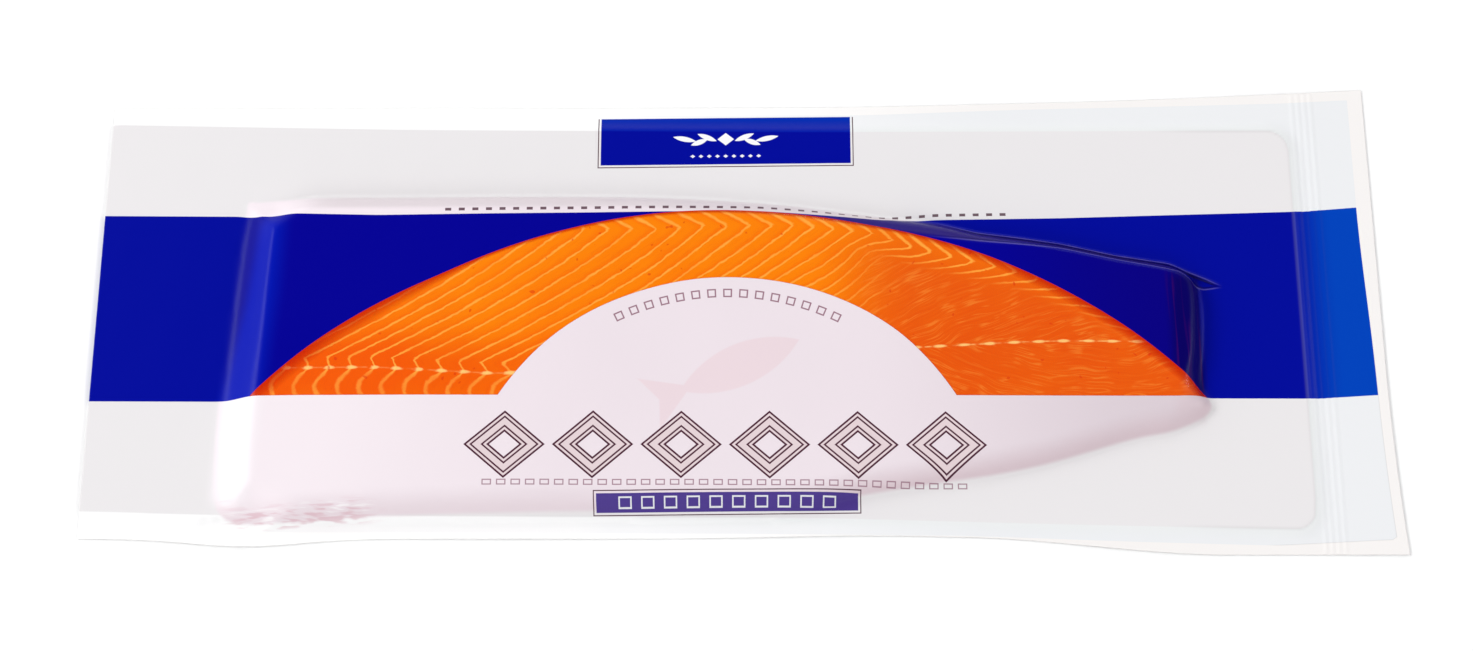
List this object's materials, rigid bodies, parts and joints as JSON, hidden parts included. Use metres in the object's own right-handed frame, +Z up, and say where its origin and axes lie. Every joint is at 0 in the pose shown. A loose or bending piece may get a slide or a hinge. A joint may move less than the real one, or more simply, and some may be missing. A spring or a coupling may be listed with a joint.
{
  "type": "pack of smoked salmon",
  "caption": "Flat sealed film pouch with a printed band and a clear window, holding a side of smoked salmon on a carrier card.",
  "frame": {"origin": "middle of the footprint, on the surface that the pouch lies on", "axes": "+X along the pouch to its mouth seal, +Y across it, away from the viewer, +Z up out of the printed face"},
  "size_m": [0.645, 0.2442, 0.0144],
  "materials": {
    "film": "thin glossy printed film: translucent white with a deep blue band and a clear window",
    "fish": "moist orange salmon flesh with pale lines between the flakes",
    "card": "plain pale grey coated board"
  },
  "bodies": {
    "root": {"sealed_pouch": "film"}
  },
  "joints": []
}
